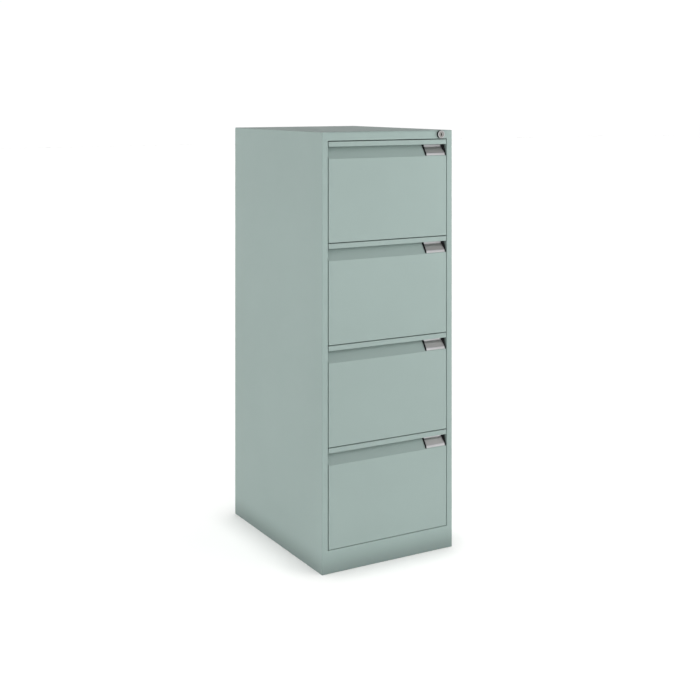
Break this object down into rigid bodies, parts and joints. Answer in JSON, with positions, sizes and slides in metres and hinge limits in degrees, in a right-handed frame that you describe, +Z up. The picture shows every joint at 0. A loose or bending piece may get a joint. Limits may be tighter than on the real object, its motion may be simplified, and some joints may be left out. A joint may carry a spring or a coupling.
{
  "type": "filing cabinet",
  "caption": "Tall steel filing cabinet with flush drawers on telescopic rails, sloping finger recesses, label holders and a central lock.",
  "frame": {"origin": "on the floor, at the centre of the bounding box in plan", "axes": "+Z up, -Y is the front that the drawers open towards, +X is the right-hand side seen from the front"},
  "size_m": [0.47, 0.63, 1.321],
  "materials": {
    "carcase_paint": "satin grey-green powder coat with a fine orange-peel texture",
    "drawer_paint": "satin grey-green powder coat with a fine orange-peel texture",
    "zinc_plate": "bright zinc plate, lightly brushed",
    "chrome_trim": "satin chrome",
    "lock_nickel": "nickel-plated die casting, faintly brushed",
    "black_plastic": "matt moulded black"
  },
  "bodies": {
    "carcase": {"left_side_panel": "carcase_paint", "right_side_panel": "carcase_paint", "top_panel": "carcase_paint", "back_panel": "carcase_paint", "base_panel": "carcase_paint", "lock_rail": "carcase_paint", "plinth_rail": "carcase_paint", "left_front_upright": "zinc_plate", "left_rear_upright": "zinc_plate", "right_front_upright": "zinc_plate", "right_rear_upright": "zinc_plate", "lock_housing": "black_plastic", "lock_collar": "chrome_trim", "drawer_1_left_outer_rail": "zinc_plate", "drawer_1_right_outer_rail": "zinc_plate", "drawer_2_left_outer_rail": "zinc_plate", "drawer_2_right_outer_rail": "zinc_plate", "drawer_3_left_outer_rail": "zinc_plate", "drawer_3_right_outer_rail": "zinc_plate", "drawer_4_left_outer_rail": "zinc_plate", "drawer_4_right_outer_rail": "zinc_plate"},
    "drawer_1": {"drawer_1_front": "drawer_paint", "drawer_1_inner_front": "drawer_paint", "drawer_1_tray": "drawer_paint", "drawer_1_label_carrier": "black_plastic", "drawer_1_label_bezel": "chrome_trim", "drawer_1_left_inner_rail": "zinc_plate", "drawer_1_right_inner_rail": "zinc_plate"},
    "drawer_1_middle_rails": {"drawer_1_left_middle_rail": "zinc_plate", "drawer_1_right_middle_rail": "zinc_plate"},
    "drawer_2": {"drawer_2_front": "drawer_paint", "drawer_2_inner_front": "drawer_paint", "drawer_2_tray": "drawer_paint", "drawer_2_label_carrier": "black_plastic", "drawer_2_label_bezel": "chrome_trim", "drawer_2_left_inner_rail": "zinc_plate", "drawer_2_right_inner_rail": "zinc_plate"},
    "drawer_2_middle_rails": {"drawer_2_left_middle_rail": "zinc_plate", "drawer_2_right_middle_rail": "zinc_plate"},
    "drawer_3": {"drawer_3_front": "drawer_paint", "drawer_3_inner_front": "drawer_paint", "drawer_3_tray": "drawer_paint", "drawer_3_label_carrier": "black_plastic", "drawer_3_label_bezel": "chrome_trim", "drawer_3_left_inner_rail": "zinc_plate", "drawer_3_right_inner_rail": "zinc_plate"},
    "drawer_3_middle_rails": {"drawer_3_left_middle_rail": "zinc_plate", "drawer_3_right_middle_rail": "zinc_plate"},
    "drawer_4": {"drawer_4_front": "drawer_paint", "drawer_4_inner_front": "drawer_paint", "drawer_4_tray": "drawer_paint", "drawer_4_label_carrier": "black_plastic", "drawer_4_label_bezel": "chrome_trim", "drawer_4_left_inner_rail": "zinc_plate", "drawer_4_right_inner_rail": "zinc_plate"},
    "drawer_4_middle_rails": {"drawer_4_left_middle_rail": "zinc_plate", "drawer_4_right_middle_rail": "zinc_plate"},
    "lock_plug": {"lock_plug": "lock_nickel", "lock_cam": "zinc_plate"},
    "lock_bar": {"lock_bar": "zinc_plate"}
  },
  "joints": [
    {"name": "drawer_1_slide", "type": "slide", "parent": "carcase", "child": "drawer_1", "axis": [0, -1, 0], "range_m": [0, 0.54]},
    {"name": "drawer_1_middle_rails_slide", "type": "slide", "parent": "carcase", "child": "drawer_1_middle_rails", "axis": [0, -1, 0], "range_m": [0, 0.27]},
    {"name": "drawer_2_slide", "type": "slide", "parent": "carcase", "child": "drawer_2", "axis": [0, -1, 0], "range_m": [0, 0.54]},
    {"name": "drawer_2_middle_rails_slide", "type": "slide", "parent": "carcase", "child": "drawer_2_middle_rails", "axis": [0, -1, 0], "range_m": [0, 0.27]},
    {"name": "drawer_3_slide", "type": "slide", "parent": "carcase", "child": "drawer_3", "axis": [0, -1, 0], "range_m": [0, 0.54]},
    {"name": "drawer_3_middle_rails_slide", "type": "slide", "parent": "carcase", "child": "drawer_3_middle_rails", "axis": [0, -1, 0], "range_m": [0, 0.27]},
    {"name": "drawer_4_slide", "type": "slide", "parent": "carcase", "child": "drawer_4", "axis": [0, -1, 0], "range_m": [0, 0.54]},
    {"name": "drawer_4_middle_rails_slide", "type": "slide", "parent": "carcase", "child": "drawer_4_middle_rails", "axis": [0, -1, 0], "range_m": [0, 0.27]},
    {"name": "lock_turn", "type": "hinge", "parent": "carcase", "child": "lock_plug", "pos_m": [0.189, -0.307, 1.308], "axis": [0, 1, 0], "range_deg": [0, 90]},
    {"name": "lock_bar_lift", "type": "slide", "parent": "carcase", "child": "lock_bar", "axis": [0, 0, 1], "range_m": [0, 0.00848]}
  ],
  "couplings": [
    {"joint": "drawer_1_middle_rails_slide", "follows": "drawer_1_slide", "ratio": 0.5},
    {"joint": "drawer_2_middle_rails_slide", "follows": "drawer_2_slide", "ratio": 0.5},
    {"joint": "drawer_3_middle_rails_slide", "follows": "drawer_3_slide", "ratio": 0.5},
    {"joint": "drawer_4_middle_rails_slide", "follows": "drawer_4_slide", "ratio": 0.5},
    {"joint": "lock_turn", "follows": "lock_bar_lift", "rad_per_m": 185.12}
  ]
}
